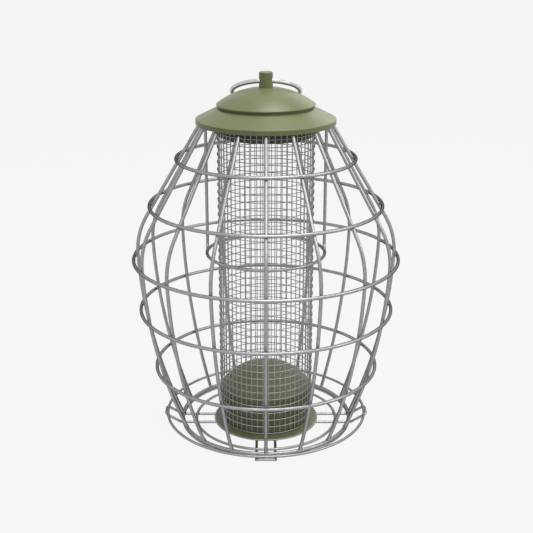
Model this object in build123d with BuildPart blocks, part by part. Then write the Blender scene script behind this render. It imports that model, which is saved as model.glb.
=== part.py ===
from build123d import *
import os
from math import acos, asin, atan2, cos, degrees, hypot, pi, radians, sin, sqrt, tan

# Squirrel proof bird feeder. A tube of welded mesh holds the nuts. It stands on a domed base and is
# closed by a domed cap with a hanging post and ring. Round it stands a barrel cage of welded wire, with
# a conical roof over its top ring and an open tray of wire rings under its bottom ring. Small birds
# slip in between the wires, and squirrels stay outside.
#
# Lengths are in millimetres and driving angles in degrees. +Z is up and the front faces -Y. The origin
# is the middle of the footprint, on the ground under the tray's lowest wires.

os.makedirs("parts", exist_ok=True)

# Fits
weld_gap = 0.05          # between round wires or faces that are welded or clamped together
seat_gap = 0.3           # between pieces that only rest on or slip into each other
cut_overrun = 2.0        # how far a cutting shape runs past the face that it starts from

# Wire thicknesses
cage_wire = 3.2
guide_wire = 2.9
tray_wire = 2.5
mesh_wire = 0.8
ring_wire = 4.2

# Cage: ribs inside, hoops outside
rib_count = 16
belly_radius = 120.35
belly_height = 174.6
belly_bend_radius = 69.4
belly_undercut = 2.8     # how far the belly's bend turns in again below the widest point
top_ring_radius = 55.7
top_ring_height = 300.2
rib_top_spread = 1.4     # how far outside the top ring's middle line the ribs reach it
bottom_ring_radius = 81.6
neck_hoop_height = 265.1
shoulder_hoop_height = 222.0
belly_hoop_height = 171.3
waist_hoop_height = 122.0
low_hoop_height = 63.3

# Guide hoop that keeps the tube in the middle
guide_height = 174.8
guide_bend_radius = 8.0

# Tray: three rings on two crossed wire loops
tray_rim_radius = 96.5
tray_rim_height = 12.0
tray_inner_radius = 68.4
arm_spacing = 17.5       # between the two wires of one loop
arm_level_radius = 83.4  # where the arms leave the ground and slope up to the rim
arm_bend_radius = 6.0
arm_corner_radius = 3.5
rim_bar_angle = 45.0     # the loop's end bar lies this far below the level of the rim wire
hump_ramp = 5.0          # level length of the slope up to the hump where one loop crosses the other
hump_shoulder = 3.5      # how far the hump stays high past the wire that it crosses
hump_bend_radius = 3.0

# Mesh tube
mesh_radius = 43.5
mesh_upright_count = 51
mesh_pitch = 7.065
band_wall = 1.5
band_lip = 1.4
band_skirt = 21.8

# Base under the tube
base_radius = 50.9
base_rim = 1.3
base_foot = 3.0
base_slope = 17.7
base_wall = 1.6
base_collar_height = 37.2
base_dome_sphere = 54.2
base_dome_edge = 0.4
base_spigot = 6.0
base_web = 2.0
base_web_height = 24.0
base_rounding = 0.6
boss_count = 3
boss_circle = 26.0
boss_radius = 3.2
screw_radius = 1.4
screw_fit = 0.05
screw_clearance = 0.3
screw_head_radius = 3.0
screw_head = 1.8
screw_rounding = 0.8
screw_length = 12.0
screw_slot_width = 0.8
screw_slot_depth = 0.9

# Roof over the cage
roof_radius = 63.4
roof_slope = 26.5
roof_wall = 0.8
roof_ring_gap = 1.8      # between the cage's top ring and the roof, which rests on the mesh tube
roof_lip = 4.1
roof_rounding = 0.5
roof_hole_gap = 0.4

# Cap on the tube
cap_radius = 44.6
cap_sphere = 74.2
cap_edge = 1.0
cap_edge_rounding = 0.45
cap_groove = 2.5         # shadow gap between the cap's edge and the roof
cap_neck_radius = 42.6
cap_wall = 1.8
cap_boss_radius = 5.0
cap_boss = 6.0
plug_depth = 16.0
plug_wall = 1.5

# Hanging post and ring
post_radius = 6.2
post_height = 13.5
post_rounding = 1.2
post_hole_height = 5.45
post_seat = 0.4
post_seat_gap = 0.2
stem_radius = 2.5
stem_tail = 0.9
washer_radius = 6.0
washer = 1.0
nut_width = 8.0
nut = 2.7
hang_radius = 31.4
hang_play = 0.12

# Widths and levels that follow
cage_half = cage_wire / 2
tray_half = tray_wire / 2
mesh_half = mesh_wire / 2
hang_half = ring_wire / 2
arm_height = tray_half
tray_ring_height = arm_height + tray_wire + weld_gap
bottom_ring_height = tray_ring_height + tray_half + weld_gap + cage_half
rib_end_gap = cage_half + weld_gap
hoop_offset = cage_wire + weld_gap

# Rib outline in its own upright plane, as a distance from the cage's axis and a height: a straight run
# from the top ring to the shoulder, a bend round the belly, and one long curve in to the bottom ring.
undercut = radians(belly_undercut)
belly_centre = belly_radius - belly_bend_radius
rib_top_radius = top_ring_radius + rib_top_spread
top_run = rib_top_radius - belly_centre
top_rise = top_ring_height - belly_height
shoulder_lean = atan2(top_rise, top_run) - acos(belly_bend_radius / hypot(top_run, top_rise))
shoulder_radius = belly_centre + belly_bend_radius * cos(shoulder_lean)
shoulder_height = belly_height + belly_bend_radius * sin(shoulder_lean)
leave_radius = belly_centre + belly_bend_radius * cos(undercut)
leave_height = belly_height - belly_bend_radius * sin(undercut)
inward_run = leave_radius - bottom_ring_radius
downward_run = leave_height - bottom_ring_height
lower_reach = inward_run * cos(undercut) - downward_run * sin(undercut)
lower_radius = hypot(inward_run, downward_run) ** 2 / (2 * lower_reach)
lower_centre = leave_radius - lower_radius * cos(undercut)
lower_centre_height = leave_height + lower_radius * sin(undercut)
foot_turn = asin((lower_centre_height - bottom_ring_height) / lower_radius) - rib_end_gap / lower_radius
rib_top_gap = rib_end_gap - rib_top_spread * sin(shoulder_lean)
rib_top = (
    rib_top_radius + rib_top_gap * sin(shoulder_lean),
    top_ring_height - rib_top_gap * cos(shoulder_lean),
)


def cage_radius(height, outward):
    """Distance from the axis to a line that runs outside the rib's middle line by outward."""
    if height > belly_height + (belly_bend_radius + outward) * sin(shoulder_lean):
        level = (top_ring_height - height) * tan(shoulder_lean)
        return rib_top_radius + level + outward / cos(shoulder_lean)
    if height > belly_height - (belly_bend_radius + outward) * sin(undercut):
        return belly_centre + sqrt((belly_bend_radius + outward) ** 2 - (height - belly_height) ** 2)
    return lower_centre + sqrt((lower_radius + outward) ** 2 - (height - lower_centre_height) ** 2)


def wire_ring(name, radius, height, wire):
    """A closed ring of round wire, lying level round the axis."""
    with BuildPart() as ring:
        with BuildSketch(Plane.XZ):
            with Locations((radius, height)):
                Circle(wire / 2)
        revolve(axis=Axis.Z)
    ring.part.label = name
    export_step(ring.part, f"parts/{name}.step")


def cage_rib(name, turn):
    """One upright rib, at turn from the front, with its ends butted against the top and bottom rings."""
    upright = Plane(origin=(0, 0, 0), x_dir=(sin(turn), -cos(turn), 0), z_dir=(-cos(turn), -sin(turn), 0))
    with BuildPart() as rib:
        with BuildLine(upright):
            run = Line(rib_top, (shoulder_radius, shoulder_height))
            CenterArc(
                (belly_centre, belly_height), belly_bend_radius,
                degrees(shoulder_lean), -degrees(shoulder_lean + undercut),
            )
            CenterArc(
                (lower_centre, lower_centre_height), lower_radius,
                -degrees(undercut), -degrees(foot_turn - undercut),
            )
        with BuildSketch(Plane(origin=run @ 0, z_dir=run % 0)):
            Circle(cage_half)
        sweep()
    rib.part.label = name
    export_step(rib.part, f"parts/{name}.step")


# Cage rings and hoops
wire_ring("cage_top_ring", top_ring_radius, top_ring_height, cage_wire)
for name, height in (
    ("cage_neck_hoop", neck_hoop_height),
    ("cage_shoulder_hoop", shoulder_hoop_height),
    ("cage_belly_hoop", belly_hoop_height),
    ("cage_waist_hoop", waist_hoop_height),
    ("cage_low_hoop", low_hoop_height),
):
    wire_ring(name, cage_radius(height, hoop_offset), height, cage_wire)
wire_ring("cage_bottom_ring", bottom_ring_radius, bottom_ring_height, cage_wire)

# Cage ribs, counted from the front towards +X
for index in range(rib_count):
    cage_rib(f"cage_rib_{index + 1:02d}", 2 * pi * index / rib_count)

# Guide hoop, front wire: down one leg from the top ring, round the front half, and up the other leg.
# The legs stand one bend radius behind the hoop's sideways diameter, under the middle of the top ring.
guide_radius = sqrt(top_ring_radius ** 2 - guide_bend_radius ** 2)
guide_half = guide_wire / 2
leg_top = top_ring_height - cage_half - weld_gap
leg_foot = guide_height + guide_bend_radius
with BuildPart() as guide_front:
    with BuildLine():
        leg = Line((-guide_radius, guide_bend_radius, leg_top), (-guide_radius, guide_bend_radius, leg_foot))
        TangentArc(leg @ 1, (-guide_radius, 0, guide_height), tangent=(0, 0, -1))
        TangentArc((-guide_radius, 0, guide_height), (guide_radius, 0, guide_height), tangent=(0, -1, 0))
        TangentArc(
            (guide_radius, 0, guide_height), (guide_radius, guide_bend_radius, leg_foot), tangent=(0, 1, 0)
        )
        Line((guide_radius, guide_bend_radius, leg_foot), (guide_radius, guide_bend_radius, leg_top))
    with BuildSketch(Plane(origin=leg @ 0, z_dir=leg % 0)):
        Circle(guide_half)
    sweep()
guide_front.part.label = "guide_hoop_front"
export_step(guide_front.part, "parts/guide_hoop_front.step")

# Guide hoop, rear wire: the rest of the circle, with its ends against the outside of the leg bends
rear_end = sqrt(2 * guide_bend_radius * guide_wire) + weld_gap
rear_turn = asin(rear_end / guide_radius)
rear_start = Plane(
    origin=(0, 0, 0), x_dir=(cos(rear_turn), sin(rear_turn), 0), z_dir=(sin(rear_turn), -cos(rear_turn), 0)
)
with BuildPart() as guide_rear:
    with BuildSketch(rear_start):
        with Locations((guide_radius, guide_height)):
            Circle(guide_half)
    revolve(axis=Axis.Z, revolution_arc=degrees(pi - 2 * rear_turn))
guide_rear.part.label = "guide_hoop_rear"
export_step(guide_rear.part, "parts/guide_hoop_rear.step")

# Tray rings: the rim, the ring under the cage's bottom ring, and the inner ring
wire_ring("tray_rim_ring", tray_rim_radius, tray_rim_height, tray_wire)
wire_ring("tray_middle_ring", bottom_ring_radius, tray_ring_height, tray_wire)
wire_ring("tray_inner_ring", tray_inner_radius, tray_ring_height, tray_wire)

# Tray arms: two closed wire loops lie crossed on the ground. Each slopes up outside the middle ring and
# ends in a short bar outside and below the rim wire. The front-to-back loop humps over the side loop.
bar_shift = tray_wire + weld_gap
bar_radius = tray_rim_radius + bar_shift * cos(radians(rim_bar_angle))
bar_height = tray_rim_height - bar_shift * sin(radians(rim_bar_angle))
arm_half = arm_spacing / 2
hump_height = arm_height + tray_wire + weld_gap
hump_top = arm_half + hump_shoulder
hump_foot = hump_top + hump_ramp


def tray_loop(name, side, bend_radii, turn):
    """A closed loop whose long side is given as (distance along the arm, height), turned about Z."""
    points = [(along, -arm_half, height) for along, height in side]
    points += [(-along, arm_half, height) for along, height in side]
    with BuildPart() as loop:
        with BuildLine(Plane.XY.rotated((0, 0, turn))):
            path = FilletPolyline(*points, radius=bend_radii * 2, close=True)
        start = path.edges().filter_by(GeomType.LINE).sort_by(SortBy.LENGTH)[-1]
        with BuildSketch(Plane(origin=start @ 0, z_dir=start % 0)):
            Circle(tray_half)
        sweep()
    loop.part.label = name
    export_step(loop.part, f"parts/{name}.step")


tray_loop(
    "tray_side_loop",
    [(-bar_radius, bar_height), (-arm_level_radius, arm_height),
     (arm_level_radius, arm_height), (bar_radius, bar_height)],
    [arm_corner_radius, arm_bend_radius, arm_bend_radius, arm_corner_radius],
    0,
)
tray_loop(
    "tray_front_loop",
    [(-bar_radius, bar_height), (-arm_level_radius, arm_height),
     (-hump_foot, arm_height), (-hump_top, hump_height), (hump_top, hump_height), (hump_foot, arm_height),
     (arm_level_radius, arm_height), (bar_radius, bar_height)],
    [arm_corner_radius, arm_bend_radius, hump_bend_radius, hump_bend_radius,
     hump_bend_radius, hump_bend_radius, arm_bend_radius, arm_corner_radius],
    90,
)

# Roof lines: the underside passes over the cage's top ring, and the top face is one wall above it
roof_tilt = radians(roof_slope)
roof_under_level = top_ring_height + (cage_half + roof_ring_gap) / cos(roof_tilt)
roof_top_level = roof_under_level + roof_wall / cos(roof_tilt)


def roof_under(radius):
    return roof_under_level + (top_ring_radius - radius) * tan(roof_tilt)


def roof_top(radius):
    return roof_top_level + (top_ring_radius - radius) * tan(roof_tilt)


# Base lines: the plate's foot stands just above the tray's arms
base_tilt = radians(base_slope)
base_foot_height = tray_wire + seat_gap
mesh_inner = mesh_radius - mesh_half
mesh_outer = mesh_radius + mesh_half + mesh_wire + weld_gap
collar_radius = mesh_inner - seat_gap
collar_bore = collar_radius - base_wall
collar_top = base_foot_height + base_collar_height
web_under = base_foot_height + base_web_height
web_top = web_under + base_web


def base_top(radius):
    return base_foot_height + base_rim + (base_radius - radius) * tan(base_tilt)


# Base plate: a sloping skirt that sheds rain, a collar for the mesh tube, and a web inside the collar
with BuildPart() as base_plate:
    with BuildSketch(Plane.XZ):
        with BuildLine():
            Polyline(
                (0, web_under),
                (collar_bore, web_under),
                (collar_bore, base_foot_height + (base_radius - base_foot - collar_bore) * tan(base_tilt)),
                (base_radius - base_foot, base_foot_height),
                (base_radius, base_foot_height),
                (base_radius, base_top(base_radius)),
                (collar_radius, base_top(collar_radius)),
                (collar_radius, collar_top),
                (collar_bore, collar_top),
                (collar_bore, web_top),
                (0, web_top),
                close=True,
            )
        outline = make_face()
        fillet(outline.vertices().sort_by(Axis.X)[-2:], base_rounding)
    revolve(axis=Axis.Z)
    with BuildSketch(Plane.XY.offset(web_under)):
        with PolarLocations(boss_circle, boss_count, start_angle=90):
            Circle(screw_radius + screw_clearance)
    extrude(amount=base_web, mode=Mode.SUBTRACT)
base_plate.part.label = "base_plate"
export_step(base_plate.part, "parts/base_plate.step")

# Base dome: the floor of the tube. It closes the collar, pushes the nuts out against the mesh, and has a
# spigot and screw bosses under it.
dome_foot = collar_top + weld_gap
dome_edge_top = dome_foot + base_dome_edge
dome_centre = dome_edge_top - sqrt(base_dome_sphere ** 2 - collar_radius ** 2)
dome_top = dome_centre + base_dome_sphere
dome_inside = base_dome_sphere - base_wall
spigot_radius = collar_bore - weld_gap
spigot_bore = spigot_radius - base_wall
spigot_foot = dome_foot - base_spigot
with BuildPart() as base_dome:
    with BuildSketch(Plane.XZ):
        with BuildLine():
            RadiusArc((0, dome_top), (collar_radius, dome_edge_top), base_dome_sphere)
            Polyline((collar_radius, dome_edge_top), (collar_radius, dome_foot), (0, dome_foot), (0, dome_top))
        make_face()
    revolve(axis=Axis.Z)
    with BuildSketch(Plane.XY.offset(spigot_foot)):
        Circle(spigot_radius)
    extrude(amount=base_spigot)
    with BuildSketch(Plane.XZ):
        with BuildLine():
            dome_side = dome_centre + sqrt(dome_inside ** 2 - spigot_bore ** 2)
            RadiusArc((0, dome_centre + dome_inside), (spigot_bore, dome_side), dome_inside)
            Polyline(
                (spigot_bore, dome_side), (spigot_bore, spigot_foot - cut_overrun),
                (0, spigot_foot - cut_overrun), (0, dome_centre + dome_inside),
            )
        make_face()
    revolve(axis=Axis.Z, mode=Mode.SUBTRACT)
    with BuildSketch(Plane.XY.offset(web_top + weld_gap)):
        with PolarLocations(boss_circle, boss_count, start_angle=90):
            Circle(boss_radius)
    extrude(until=Until.NEXT)
    with BuildSketch(Plane.XY.offset(web_top + weld_gap)):
        with PolarLocations(boss_circle, boss_count, start_angle=90):
            Circle(screw_radius + screw_fit)
    extrude(amount=screw_length, mode=Mode.SUBTRACT)
base_dome.part.label = "base_dome"
export_step(base_dome.part, "parts/base_dome.step")

# Base screws: three cross-slot screws, put in from below
head_top = web_under - weld_gap
with BuildPart() as base_screws:
    with BuildSketch(Plane.XY.offset(head_top - screw_head)):
        with PolarLocations(boss_circle, boss_count, start_angle=90):
            Circle(screw_head_radius)
    extrude(amount=screw_head)
    fillet(base_screws.edges().group_by(Axis.Z)[0], screw_rounding)
    with BuildSketch(Plane.XY.offset(head_top)):
        with PolarLocations(boss_circle, boss_count, start_angle=90):
            Circle(screw_radius)
    extrude(amount=screw_length)
    with BuildSketch(Plane.XY.offset(head_top - screw_head)):
        with PolarLocations(boss_circle, boss_count, start_angle=90):
            Rectangle(2 * screw_radius, screw_slot_width)
            Rectangle(screw_slot_width, 2 * screw_radius)
    extrude(amount=screw_slot_depth, mode=Mode.SUBTRACT)
base_screws.part.label = "base_screws"
export_step(base_screws.part, "parts/base_screws.step")

# Mesh tube: its top band's lip stands just under the roof, and its wires stop just above the base plate
band_top = roof_under(mesh_outer) - seat_gap / cos(roof_tilt)
band_lip_under = band_top - band_lip
mesh_top = band_lip_under - weld_gap
mesh_bottom = base_top(mesh_inner) + seat_gap / cos(base_tilt)
hoop_radius = mesh_radius + mesh_wire + weld_gap
first_hoop = mesh_bottom + mesh_half
mesh_hoop_count = int((mesh_top - mesh_half - first_hoop) / mesh_pitch) + 1

with BuildPart() as mesh_uprights:
    with BuildSketch(Plane.XY.offset(mesh_bottom)):
        with PolarLocations(mesh_radius, mesh_upright_count, start_angle=180 / mesh_upright_count - 90):
            Circle(mesh_half)
    extrude(amount=mesh_top - mesh_bottom)
mesh_uprights.part.label = "mesh_uprights"
export_step(mesh_uprights.part, "parts/mesh_uprights.step")

lower_half = mesh_hoop_count // 2
for name, first, last in (
    ("mesh_hoops_lower", 0, lower_half),
    ("mesh_hoops_upper", lower_half, mesh_hoop_count),
):
    with BuildPart() as mesh_hoops:
        with BuildSketch(Plane.XZ):
            with Locations([(hoop_radius, first_hoop + index * mesh_pitch) for index in range(first, last)]):
                Circle(mesh_half)
        revolve(axis=Axis.Z)
    mesh_hoops.part.label = name
    export_step(mesh_hoops.part, f"parts/{name}.step")

# Top band: a collar inside the top of the mesh, with a lip over the wire ends
band_radius = mesh_inner - weld_gap
band_bore = band_radius - band_wall
with BuildPart() as top_band:
    with BuildSketch(Plane.XZ):
        with BuildLine():
            Polyline(
                (band_bore, mesh_top - band_skirt),
                (band_radius, mesh_top - band_skirt),
                (band_radius, band_lip_under),
                (mesh_outer, band_lip_under),
                (mesh_outer, band_top),
                (band_bore, band_top),
                close=True,
            )
        make_face()
    revolve(axis=Axis.Z)
top_band.part.label = "mesh_top_band"
export_step(top_band.part, "parts/mesh_top_band.step")

# Roof: a conical flange with a round hole for the cap's neck
roof_hole = cap_neck_radius + roof_hole_gap
lip_bore = roof_radius - roof_wall
flange_foot = roof_under(lip_bore)
with BuildPart() as roof:
    with BuildSketch(Plane.XZ):
        with BuildLine():
            Polyline(
                (roof_hole, roof_top(roof_hole)),
                (roof_radius, roof_top(roof_radius)),
                (roof_radius, flange_foot),
                (lip_bore, flange_foot),
                (roof_hole, roof_under(roof_hole)),
                close=True,
            )
        outline = make_face()
        fillet(outline.vertices().group_by(Axis.X)[-1].sort_by(Axis.Y)[-1], roof_rounding)
    revolve(axis=Axis.Z)
roof.part.label = "roof_flange"
export_step(roof.part, "parts/roof_flange.step")

# Roof lip: the flange's turned-down edge, which hides the ribs' upper ends
lip_foot = roof_top(roof_radius) - roof_lip
with BuildPart() as roof_edge:
    with BuildSketch(Plane.XY.offset(lip_foot)):
        Circle(roof_radius)
        Circle(lip_bore, mode=Mode.SUBTRACT)
    extrude(amount=flange_foot - weld_gap - lip_foot)
roof_edge.part.label = "roof_lip"
export_step(roof_edge.part, "parts/roof_lip.step")

# Cap dome: a spherical cap with a thin edge over the roof, and a neck that stands on the mesh's band
neck_foot = band_top + seat_gap
cap_under = roof_top(cap_radius) + cap_groove
cap_edge_top = cap_under + cap_edge
cap_centre = cap_edge_top - sqrt(cap_sphere ** 2 - cap_radius ** 2)
cap_top = cap_centre + cap_sphere
plug_radius = band_bore - seat_gap
plug_bore = plug_radius - plug_wall
post_foot = cap_centre + sqrt(cap_sphere ** 2 - post_radius ** 2) - post_seat
cap_inside = cap_sphere - cap_wall
with BuildPart() as cap_dome:
    with BuildSketch(Plane.XZ):
        with BuildLine():
            RadiusArc((0, cap_top), (cap_radius, cap_edge_top), cap_sphere)
            Polyline(
                (cap_radius, cap_edge_top), (cap_radius, cap_under), (cap_neck_radius, cap_under),
                (cap_neck_radius, neck_foot), (0, neck_foot), (0, cap_top),
            )
        outline = make_face()
        fillet(outline.vertices().group_by(Axis.X)[-1], cap_edge_rounding)
    revolve(axis=Axis.Z)
    with BuildSketch(Plane.XZ):
        with BuildLine():
            cap_side = cap_centre + sqrt(cap_inside ** 2 - plug_bore ** 2)
            RadiusArc((0, cap_centre + cap_inside), (plug_bore, cap_side), cap_inside)
            Polyline(
                (plug_bore, cap_side), (plug_bore, neck_foot - cut_overrun),
                (0, neck_foot - cut_overrun), (0, cap_centre + cap_inside),
            )
        make_face()
    revolve(axis=Axis.Z, mode=Mode.SUBTRACT)
    with BuildSketch(Plane.XY.offset(post_foot - cap_boss)):
        Circle(cap_boss_radius)
    extrude(until=Until.NEXT)
    with BuildSketch(Plane.XY.offset(post_foot - weld_gap)):
        Circle(post_radius + post_seat_gap)
    extrude(amount=cut_overrun, mode=Mode.SUBTRACT)
    with BuildSketch(Plane.XY.offset(post_foot + cut_overrun)):
        Circle(stem_radius + screw_fit)
    extrude(amount=-(cap_boss + 2 * cut_overrun), mode=Mode.SUBTRACT)
cap_dome.part.label = "cap_dome"
export_step(cap_dome.part, "parts/cap_dome.step")

# Cap plug: a cup clamped under the dome's neck, which slips into the mesh's band
plug_top = neck_foot - weld_gap
plug_foot = plug_top - plug_depth
with BuildPart() as cap_plug:
    with BuildSketch(Plane.XY.offset(plug_foot)):
        Circle(plug_radius)
    extrude(amount=plug_depth)
    with BuildSketch(Plane.XY.offset(plug_foot + plug_wall)):
        Circle(plug_bore)
    extrude(amount=plug_depth, mode=Mode.SUBTRACT)
    with BuildSketch(Plane.XY.offset(plug_foot)):
        Circle(stem_radius + screw_fit)
    extrude(amount=plug_wall, mode=Mode.SUBTRACT)
cap_plug.part.label = "cap_plug"
export_step(cap_plug.part, "parts/cap_plug.step")

# Hanging post: a turned head with a cross hole for the ring, and a stem down through the plug
post_top = cap_top + post_height
post_hole = cap_top + post_hole_height
hang_sag = hang_radius - sqrt(hang_radius ** 2 - post_radius ** 2)
washer_foot = plug_foot - weld_gap - washer
nut_foot = washer_foot - weld_gap - nut
with BuildPart() as post:
    with BuildSketch(Plane.XY.offset(post_foot)):
        Circle(post_radius)
    extrude(amount=post_top - post_foot)
    fillet(post.edges().group_by(Axis.Z)[-1], post_rounding)
    with BuildSketch(Plane.XY.offset(nut_foot - stem_tail)):
        Circle(stem_radius)
    extrude(amount=post_foot - nut_foot + stem_tail)
    with BuildSketch(Plane.YZ.offset(-post_radius - cut_overrun)):
        with Locations((0, post_hole)):
            Circle(hang_half + hang_sag + hang_play)
    extrude(amount=2 * (post_radius + cut_overrun), mode=Mode.SUBTRACT)
post.part.label = "hanging_post"
export_step(post.part, "parts/hanging_post.step")

# Washer and nut that clamp the plug and the dome on the post's stem
with BuildPart() as post_washer:
    with BuildSketch(Plane.XY.offset(washer_foot)):
        Circle(washer_radius)
        Circle(stem_radius + screw_fit, mode=Mode.SUBTRACT)
    extrude(amount=washer)
post_washer.part.label = "post_washer"
export_step(post_washer.part, "parts/post_washer.step")

with BuildPart() as post_nut:
    with BuildSketch(Plane.XY.offset(nut_foot)):
        RegularPolygon(nut_width / 2, 6, major_radius=False)
        Circle(stem_radius + screw_fit, mode=Mode.SUBTRACT)
    extrude(amount=nut)
post_nut.part.label = "post_nut"
export_step(post_nut.part, "parts/post_nut.step")

# Hanging ring: it goes through the post's hole and lies back until its far side rests on the roof
rest_reach = roof_top_level + top_ring_radius * tan(roof_tilt) - post_hole
rest_level = (rest_reach * cos(roof_tilt) + hang_half + seat_gap) / (2 * hang_radius)
hang_lean = roof_tilt - asin(rest_level)
hang_centre = (0, hang_radius * cos(hang_lean), post_hole - hang_radius * sin(hang_lean))
hang_normal = (0, sin(hang_lean), cos(hang_lean))
with BuildPart() as hanging_ring:
    with BuildSketch(Plane(origin=hang_centre, x_dir=(1, 0, 0), z_dir=(0, -cos(hang_lean), sin(hang_lean)))):
        with Locations((hang_radius, 0)):
            Circle(hang_half)
    revolve(axis=Axis(hang_centre, hang_normal))
hanging_ring.part.label = "hanging_ring"
export_step(hanging_ring.part, "parts/hanging_ring.step")
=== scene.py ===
from math import cos, pi, radians, sin, sqrt

import bpy
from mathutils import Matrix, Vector


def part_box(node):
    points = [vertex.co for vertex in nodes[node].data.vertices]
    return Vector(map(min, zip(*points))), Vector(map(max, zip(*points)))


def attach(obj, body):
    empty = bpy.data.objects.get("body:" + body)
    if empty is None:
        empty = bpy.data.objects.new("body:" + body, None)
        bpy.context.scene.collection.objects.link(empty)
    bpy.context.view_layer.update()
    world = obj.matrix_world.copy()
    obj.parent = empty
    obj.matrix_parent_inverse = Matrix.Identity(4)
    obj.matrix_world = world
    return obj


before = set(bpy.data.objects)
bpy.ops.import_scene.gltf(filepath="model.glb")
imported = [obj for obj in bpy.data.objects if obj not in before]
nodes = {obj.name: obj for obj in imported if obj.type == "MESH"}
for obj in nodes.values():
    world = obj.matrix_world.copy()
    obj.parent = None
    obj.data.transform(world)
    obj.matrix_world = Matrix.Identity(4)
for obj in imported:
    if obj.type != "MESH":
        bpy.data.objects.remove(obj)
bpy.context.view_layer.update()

bpy.ops.object.select_all(action="DESELECT")

# Cage ribs, hoops and rings. They are drawn steel wire, resistance welded into a barrel and then galvanised.
# The zinc has a satin shine, faint cloudy patches and very fine pits. Its tint is low, which keeps the
# wires' edges dark.
mm = 0.001
cage_wire = 3.2 * mm


def new_finish(name, metallic, roughness):
    """A new material with its shader ready. Returns the material, its node tree and the shader."""
    material = bpy.data.materials.new(name)
    material.use_nodes = True
    shader = material.node_tree.nodes["Principled BSDF"]
    shader.inputs["Metallic"].default_value = metallic
    shader.inputs["Roughness"].default_value = roughness
    return material, material.node_tree, shader


def noise_on_piece(tree, scale, detail):
    """Noise on the piece's own coordinates. Returns its value."""
    place = tree.nodes.new("ShaderNodeTexCoord")
    noise = tree.nodes.new("ShaderNodeTexNoise")
    noise.inputs["Scale"].default_value = scale
    noise.inputs["Detail"].default_value = detail
    tree.links.new(place.outputs["Object"], noise.inputs["Vector"])
    return noise.outputs["Fac"]


def clouds(tree, scale, detail, dark, pale):
    """Soft patches of two shades over the piece. Returns their colour."""
    ramp = tree.nodes.new("ShaderNodeValToRGB")
    ramp.color_ramp.elements[0].position = 0.3
    ramp.color_ramp.elements[0].color = (*dark, 1)
    ramp.color_ramp.elements[1].position = 0.7
    ramp.color_ramp.elements[1].color = (*pale, 1)
    tree.links.new(noise_on_piece(tree, scale, detail), ramp.inputs["Fac"])
    return ramp.outputs["Color"]


def mottled(tree, shader, scale, detail, dark, pale):
    """Colour that drifts between two shades over the surface."""
    tree.links.new(clouds(tree, scale, detail, dark, pale), shader.inputs["Base Color"])


def rough_patches(tree, shader, scale, smooth, rough):
    """Roughness that drifts between two values over the surface."""
    grey = clouds(tree, scale, detail=4, dark=(smooth, smooth, smooth), pale=(rough, rough, rough))
    tree.links.new(grey, shader.inputs["Roughness"])


def pitted(tree, shader, scale, depth):
    """A fine bump over the surface."""
    bump = tree.nodes.new("ShaderNodeBump")
    bump.inputs["Strength"].default_value = 0.5
    bump.inputs["Distance"].default_value = depth
    tree.links.new(noise_on_piece(tree, scale, detail=3), bump.inputs["Height"])
    tree.links.new(bump.outputs["Normal"], shader.inputs["Normal"])


def coat(names, material):
    """The CAD pieces keep their meshes and take this finish."""
    for name in names:
        nodes[name].data.materials.clear()
        nodes[name].data.materials.append(material)


galvanised, tree, shader = new_finish("galvanised_wire", metallic=1.0, roughness=0.3)
shader.inputs["Specular Tint"].default_value = (0.08, 0.08, 0.08, 1)
mottled(tree, shader, scale=260, detail=6, dark=(0.30, 0.305, 0.31), pale=(0.38, 0.385, 0.39))
rough_patches(tree, shader, scale=420, smooth=0.28, rough=0.36)
pitted(tree, shader, scale=900, depth=0.02 * mm)
coat([name for name in nodes if name.startswith("cage_")], galvanised)

# Welds of the cage. Where two wires cross they are fused by a small nugget of steel, squeezed out a little
# into the crevice between them. The nuggets are duller and rougher than the wire.
rib_count = 16
wire_gap = 0.05 * mm
hoop_weld = 1.35 * mm
rib_end_weld = 1.7 * mm
weld_steel, tree, shader = new_finish("weld_steel", metallic=1.0, roughness=0.55)
mottled(tree, shader, scale=900, detail=5, dark=(0.24, 0.24, 0.235), pale=(0.40, 0.40, 0.40))
rough_patches(tree, shader, scale=1500, smooth=0.45, rough=0.65)
pitted(tree, shader, scale=3000, depth=0.08 * mm)


def nugget(name, place, size, facets, metal):
    """One weld at place: a small ball, pushed a tenth of its size out of round."""
    bpy.ops.mesh.primitive_ico_sphere_add(subdivisions=facets, radius=size, location=place)
    ball = bpy.context.active_object
    ball.name = name
    bpy.ops.object.mode_set(mode="EDIT")
    bpy.ops.transform.vertex_random(offset=0.1 * size, seed=3)
    bpy.ops.object.mode_set(mode="OBJECT")
    bpy.ops.object.transform_apply(location=True, rotation=True, scale=True)
    bpy.ops.object.shade_smooth()
    ball.data.materials.append(metal)
    return ball


def copied(piece, count, turn=0.0, step=(0, 0, 0)):
    """Repeats the piece's mesh, each copy turned about the feeder's axis and moved by step."""
    bpy.ops.object.empty_add(location=step, rotation=(0, 0, turn))
    guide = bpy.context.active_object
    copies = piece.modifiers.new("copies", "ARRAY")
    copies.count = count
    copies.use_relative_offset = False
    copies.use_object_offset = True
    copies.offset_object = guide
    bpy.context.view_layer.objects.active = piece
    bpy.ops.object.modifier_apply(modifier="copies")
    bpy.data.objects.remove(guide)


def ring_of_welds(name, place, size, count):
    """Nuggets of the cage, evenly spaced round the feeder's axis."""
    welds = nugget(name, place, size, facets=2, metal=weld_steel)
    copied(welds, count, turn=2 * pi / count)
    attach(welds, "cage")


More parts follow.
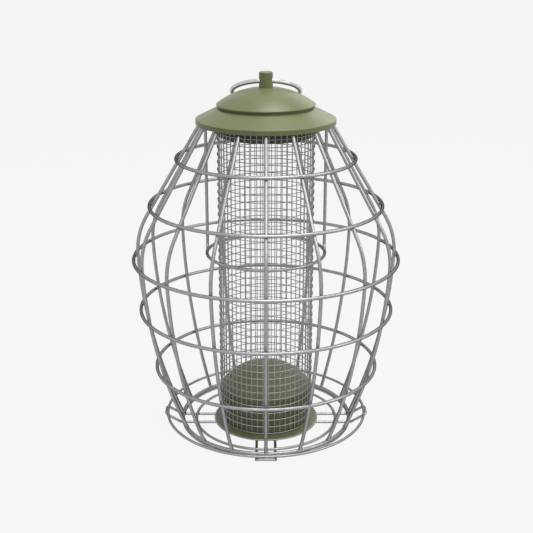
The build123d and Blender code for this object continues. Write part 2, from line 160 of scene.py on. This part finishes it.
# The crevice between a hoop and a rib leans as the rib does there, by lean degrees.
crevice = (cage_wire + wire_gap) / 2
for hoop, lean in (
    ("cage_neck_hoop", 30.7), ("cage_shoulder_hoop", 30.7), ("cage_belly_hoop", -2.6),
    ("cage_waist_hoop", -8.8), ("cage_low_hoop", -16.1),
):
    low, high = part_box(hoop)
    reach = high[0] - cage_wire / 2 - crevice * cos(radians(lean))
    level = (low[2] + high[2]) / 2 - crevice * sin(radians(lean))
    ring_of_welds(f"welds_{hoop}", (0, -reach, level), hoop_weld, rib_count)
top_low, top_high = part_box("cage_top_ring")
foot_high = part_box("cage_bottom_ring")[1]
past_top_ring = 1.2 * mm
under_top_ring = 1.0 * mm
top_reach = top_high[0] - cage_wire / 2 + past_top_ring
top_level = (top_low[2] + top_high[2]) / 2 - under_top_ring
foot_reach = foot_high[0] - cage_wire / 2
ring_of_welds("welds_rib_tops", (0, -top_reach, top_level), rib_end_weld, rib_count)
ring_of_welds("welds_rib_feet", (0, -foot_reach, foot_high[2]), rib_end_weld, rib_count)

# Guide hoop: two thinner wires of the same galvanised stock, hung from the top ring. Its welds are at the
# tops of the legs and where the rear wire meets the leg bends, each on the left and on the right.
guide_wire = 2.9 * mm
guide_weld = 1.5 * mm
coat(["guide_hoop_front", "guide_hoop_rear"], galvanised)


def mirrored(piece, across):
    """Repeats the piece's mesh across the planes named by across, for x, y and z."""
    flip = piece.modifiers.new("flip", "MIRROR")
    flip.use_axis = across
    flip.use_mirror_merge = False
    bpy.context.view_layer.objects.active = piece
    bpy.ops.object.modifier_apply(modifier="flip")


leg_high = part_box("guide_hoop_front")[1]
rear_low, rear_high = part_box("guide_hoop_rear")
leg_reach = leg_high[0] - guide_wire / 2
leg_set_back = leg_high[1] - guide_wire / 2
rear_set_back = rear_low[1]
rear_reach = sqrt(leg_reach ** 2 - rear_set_back ** 2)
rear_level = rear_high[2] - guide_wire / 2
for name, place in (
    ("welds_guide_legs", (leg_reach, leg_set_back, leg_high[2])),
    ("welds_guide_rear", (rear_reach, rear_set_back, rear_level)),
):
    welds = nugget(name, place, guide_weld, facets=2, metal=weld_steel)
    mirrored(welds, across=(True, False, False))
    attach(welds, "cage")

# Tray: three rings and two long loops, of the same galvanised stock, welded where they cross. The inner
# and middle rings lie on both loops, the rim rests against the loops' end bars, and the cage stands on
# the middle ring.
tray_wire = 2.5 * mm
tray_weld = 1.1 * mm
rim_weld = 1.2 * mm
cage_weld = 1.3 * mm
bar_count = 4
cage_weld_count = 8
coat([name for name in nodes if name.startswith("tray_")], galvanised)
loop_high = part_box("tray_side_loop")[1]
arm_offset = loop_high[1] - tray_wire / 2
for ring in ("tray_inner_ring", "tray_middle_ring"):
    low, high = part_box(ring)
    reach = high[0] - tray_wire / 2
    crossing = (sqrt(reach ** 2 - arm_offset ** 2), arm_offset, low[2])
    welds = nugget(f"welds_{ring}", crossing, tray_weld, facets=2, metal=weld_steel)
    copied(welds, 2, turn=pi / 2)
    mirrored(welds, across=(True, True, False))
    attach(welds, "cage")
rim_low, rim_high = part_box("tray_rim_ring")
middle_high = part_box("tray_middle_ring")[1]
rim_reach = rim_high[0] - tray_wire / 2
rim_level = (rim_low[2] + rim_high[2]) / 2
middle_reach = middle_high[0] - tray_wire / 2
to_bar = tray_wire / 2 * sqrt(0.5)
off_bar = pi / cage_weld_count
under_cage = (middle_reach * cos(off_bar), middle_reach * sin(off_bar), middle_high[2])
ring_of_welds("welds_rim_bars", (rim_reach + to_bar, 0, rim_level - to_bar), rim_weld, bar_count)
ring_of_welds("welds_loop_crossings", (arm_offset, arm_offset, tray_wire), tray_weld, bar_count)
ring_of_welds("welds_cage_to_tray", under_cage, cage_weld, cage_weld_count)

# Base plate: a steel pressing with a skirt, a collar inside the tube and an olive green powder coat. The
# coat has a satin shine and a fine orange peel. Its green is a darker copy of the roof's olive: painted
# shade, for the shadow under the roof. Along the rim it turns to grey metal: a painted reflection, for the
# light line that the rim's reflection of the floor makes.
rim_reflection_top = 4.6 * mm
rim_reflection_full = 4.3 * mm
coated_plate, tree, shader = new_finish("olive_powder_coat_base", metallic=0.0, roughness=0.38)
# Painted shade: the plate's green is the roof's olive made darker, for the shadow under the roof.
green = clouds(tree, scale=45, detail=5, dark=(0.122, 0.143, 0.057), pale=(0.142, 0.165, 0.067))
# Painted reflection: this grey metal colour on the rim stands in for the light line of the rim's reflection
# of the floor.
rim_reflection_grey = clouds(tree, scale=700, detail=5, dark=(0.24, 0.24, 0.235), pale=(0.36, 0.36, 0.355))
plate_place = tree.nodes.new("ShaderNodeTexCoord")
plate_height = tree.nodes.new("ShaderNodeSeparateXYZ")
at_rim = tree.nodes.new("ShaderNodeMapRange")
at_rim.inputs["From Min"].default_value = rim_reflection_top
at_rim.inputs["From Max"].default_value = rim_reflection_full
# Painted reflection: below the rim heights the coat's green gives way to the grey metal, and the rim turns
# metallic.
painted_rim_reflection = tree.nodes.new("ShaderNodeMix")
painted_rim_reflection.data_type = "RGBA"
tree.links.new(plate_place.outputs["Object"], plate_height.inputs["Vector"])
tree.links.new(plate_height.outputs["Z"], at_rim.inputs["Value"])
tree.links.new(at_rim.outputs["Result"], painted_rim_reflection.inputs["Factor"])
tree.links.new(at_rim.outputs["Result"], shader.inputs["Metallic"])
tree.links.new(green, painted_rim_reflection.inputs["A"])
tree.links.new(rim_reflection_grey, painted_rim_reflection.inputs["B"])
tree.links.new(painted_rim_reflection.outputs["Result"], shader.inputs["Base Color"])
rough_patches(tree, shader, scale=160, smooth=0.34, rough=0.42)
pitted(tree, shader, scale=900, depth=0.04 * mm)
coat(["base_plate"], coated_plate)

# Base dome: the domed floor of the tube, a second pressing screwed to the plate. It has the same olive coat
# with a rougher, duller finish. Its colour is a paler copy of the olive: painted light, for the top light
# that reaches it through the mesh.
painted_light_olive, tree, shader = new_finish("olive_dome_painted_light", metallic=0.0, roughness=0.5)
# Painted light: these paler olive shades stand in for the light on the dome, not for its own colour.
mottled(tree, shader, scale=60, detail=5, dark=(0.215, 0.238, 0.125), pale=(0.255, 0.280, 0.152))
rough_patches(tree, shader, scale=160, smooth=0.42, rough=0.56)
pitted(tree, shader, scale=900, depth=0.04 * mm)
coat(["base_dome"], painted_light_olive)

# Base screws: three small zinc plated steel screws under the plate, which hold the dome to it. The plating
# is smooth, with a faint warm tone.
zinc_plate, tree, shader = new_finish("zinc_plated_fixings", metallic=1.0, roughness=0.3)
mottled(tree, shader, scale=500, detail=4, dark=(0.50, 0.50, 0.47), pale=(0.60, 0.60, 0.58))
rough_patches(tree, shader, scale=700, smooth=0.25, rough=0.4)
coat(["base_screws"], zinc_plate)

# Mesh tube: thin galvanised uprights with hoops round them, spot welded at every crossing. The zinc is
# duller than the cage's, and the welds are the wires' own metal.
mesh_wire = 0.8 * mm
mesh_pitch = 7.065 * mm
mesh_weld = 0.34 * mm
upright_count = 51
mesh_zinc, tree, shader = new_finish("mesh_zinc", metallic=1.0, roughness=0.42)
shader.inputs["Specular Tint"].default_value = (0.25, 0.25, 0.25, 1)
mottled(tree, shader, scale=300, detail=6, dark=(0.33, 0.335, 0.34), pale=(0.43, 0.435, 0.44))
rough_patches(tree, shader, scale=500, smooth=0.36, rough=0.5)
coat(["mesh_uprights", "mesh_hoops_lower", "mesh_hoops_upper"], mesh_zinc)
hoops_low, hoops_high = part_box("mesh_hoops_lower")
hoops_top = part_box("mesh_hoops_upper")[1][2]
hoop_count = round((hoops_top - hoops_low[2] - mesh_wire) / mesh_pitch) + 1
weld_reach = hoops_high[0] - mesh_wire
weld_turn = pi / upright_count
first_weld = (weld_reach * sin(weld_turn), -weld_reach * cos(weld_turn), hoops_low[2] + mesh_wire / 2)
welds = nugget("welds_mesh", first_weld, mesh_weld, facets=1, metal=mesh_zinc)
copied(welds, upright_count, turn=2 * pi / upright_count)
copied(welds, hoop_count, step=(0, 0, mesh_pitch))
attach(welds, "mesh_tube")

# Top band: a moulded band inside the top of the mesh. It stiffens the tube's mouth and carries the roof, and
# its surface is dull with a fine grain. Its very dark green-grey is painted shade, for the shadow inside the
# tube's mouth under the roof.
band, tree, shader = new_finish("band_painted_shade", metallic=0.0, roughness=0.55)
# Painted shade: these very dark shades stand in for the shadow inside the tube's mouth.
mottled(tree, shader, scale=120, detail=4, dark=(0.060, 0.070, 0.036), pale=(0.080, 0.092, 0.048))
rough_patches(tree, shader, scale=300, smooth=0.5, rough=0.62)
pitted(tree, shader, scale=1500, depth=0.03 * mm)
coat(["mesh_top_band"], band)

# Roof: a shallow cone of pressed steel with its lip turned down, over the top of the cage. It has the same
# olive powder coat as the base, clean and unworn.
olive, tree, shader = new_finish("olive_powder_coat", metallic=0.0, roughness=0.38)
mottled(tree, shader, scale=45, detail=5, dark=(0.146, 0.172, 0.067), pale=(0.167, 0.196, 0.078))
rough_patches(tree, shader, scale=160, smooth=0.34, rough=0.42)
pitted(tree, shader, scale=900, depth=0.04 * mm)
coat(["roof_flange", "roof_lip"], olive)

# Cap: a pressed dome with the roof's olive coat, over a plug of the top band's moulding, which takes the
# band's very dark painted shade. The plug slips into the band and keeps the cap in its place.
coat(["cap_dome"], olive)
# The plug takes the band's painted shade.
coat(["cap_plug"], band)

# Hanging post: it stands on the cap and has the same olive coat. Its stem goes down through the cap and the
# plug, and is held below by a zinc plated washer and nut.
coat(["hanging_post"], olive)
coat(["post_washer", "post_nut"], zinc_plate)

# Hanging ring: one bent ring of thick zinc plated wire through the post's cross hole. It is brighter and
# smoother than the cage's wire.
bright, tree, shader = new_finish("bright_ring", metallic=1.0, roughness=0.28)
mottled(tree, shader, scale=350, detail=5, dark=(0.52, 0.52, 0.52), pale=(0.62, 0.62, 0.62))
rough_patches(tree, shader, scale=500, smooth=0.24, rough=0.32)
coat(["hanging_ring"], bright)

# Floor: a plain pale sheet under the feeder, far larger than the view. The camera and mirrored rays see it
# nearly all as an even pale tone, and the small rest is lit by the lamps and keeps the feeder's shadow.
even_share = 0.94
bpy.ops.mesh.primitive_plane_add(size=40, location=(0, 0, 0))
floor = bpy.context.active_object
floor.name = "floor"
floor_look = bpy.data.materials.new("pale_floor")
floor_look.use_nodes = True


def seen_rays(tree):
    """1 for rays from the camera, mirrored or through glass too, and 0 for those that light the feeder."""
    path = tree.nodes.new("ShaderNodeLightPath")
    seen = path.outputs["Is Camera Ray"]
    for kind in ("Is Glossy Ray", "Is Transmission Ray"):
        either = tree.nodes.new("ShaderNodeMath")
        either.operation = "MAXIMUM"
        tree.links.new(seen, either.inputs[0])
        tree.links.new(path.outputs[kind], either.inputs[1])
        seen = either.outputs["Value"]
    return seen


tree = floor_look.node_tree
tree.nodes.clear()
lit = tree.nodes.new("ShaderNodeBsdfDiffuse")
lit.inputs["Color"].default_value = (0.5, 0.5, 0.5, 1)
pale = tree.nodes.new("ShaderNodeEmission")
pale.inputs["Color"].default_value = (0.96, 0.96, 0.96, 1)
share = tree.nodes.new("ShaderNodeMath")
share.operation = "MULTIPLY"
share.inputs[1].default_value = even_share
mix = tree.nodes.new("ShaderNodeMixShader")
output = tree.nodes.new("ShaderNodeOutputMaterial")
tree.links.new(seen_rays(tree), share.inputs[0])
tree.links.new(share.outputs["Value"], mix.inputs["Fac"])
tree.links.new(lit.outputs["BSDF"], mix.inputs[1])
tree.links.new(pale.outputs["Emission"], mix.inputs[2])
tree.links.new(mix.outputs["Shader"], output.inputs["Surface"])
floor.data.materials.append(floor_look)

# World: even soft light all round the feeder. The camera and mirrored rays see a pale tone like the
# floor's in its place, so that the floor has no visible edge.
world = bpy.data.worlds.new("studio")
bpy.context.scene.world = world
world.use_nodes = True
tree = world.node_tree
sky = tree.nodes["Background"]
sky.inputs["Color"].default_value = (0.92, 0.92, 0.92, 1)
sky.inputs["Strength"].default_value = 0.22
pale_sky = tree.nodes.new("ShaderNodeBackground")
pale_sky.inputs["Color"].default_value = (0.925, 0.925, 0.925, 1)
mix = tree.nodes.new("ShaderNodeMixShader")
tree.links.new(seen_rays(tree), mix.inputs["Fac"])
tree.links.new(sky.outputs["Background"], mix.inputs[1])
tree.links.new(pale_sky.outputs["Background"], mix.inputs[2])
tree.links.new(mix.outputs["Shader"], tree.nodes["World Output"].inputs["Surface"])

# Lamps: four soft boxes, with their sizes in metres and their power in watts. A long narrow one in front
# draws the thin lights on the cones, and a large one above does most of the lighting.


def softbox(name, place, aim, width, height, power):
    """A soft rectangular lamp at place, turned to aim."""
    bpy.ops.object.light_add(type="AREA", location=place)
    lamp = bpy.context.active_object
    lamp.name = name
    lamp.data.shape = "RECTANGLE"
    lamp.data.size = width
    lamp.data.size_y = height
    lamp.data.energy = power
    lamp.rotation_euler = (Vector(aim) - Vector(place)).to_track_quat("-Z", "Y").to_euler()


softbox("key_softbox", (0.25, -1.12, 1.25), aim=(0, 0, 0.22), width=1.7, height=0.22, power=5)
softbox("side_softbox", (1.3, -0.4, 0.95), aim=(0, 0, 0.2), width=0.6, height=0.6, power=4.2)
softbox("top_softbox", (0.15, -0.1, 1.7), aim=(0, 0, 0.2), width=1.1, height=0.7, power=16)
softbox("rim_softbox", (0.6, 1.25, 0.95), aim=(0, 0, 0.25), width=0.6, height=0.6, power=1.3)

# Camera: at the photograph's angle, a little above the feeder and looking down on it by dip degrees, with a
# longish lens.
dip = 18.557
camera_place = (0, -0.8861, 0.4576)
bpy.ops.object.camera_add(location=camera_place, rotation=(radians(90 - dip), 0, 0))
camera = bpy.context.active_object
camera.name = "camera"
camera.data.sensor_width = 36
camera.data.lens = 66.85
camera.data.shift_x = 0.0011
bpy.context.scene.camera = camera
bpy.context.scene.view_settings.view_transform = "Standard"
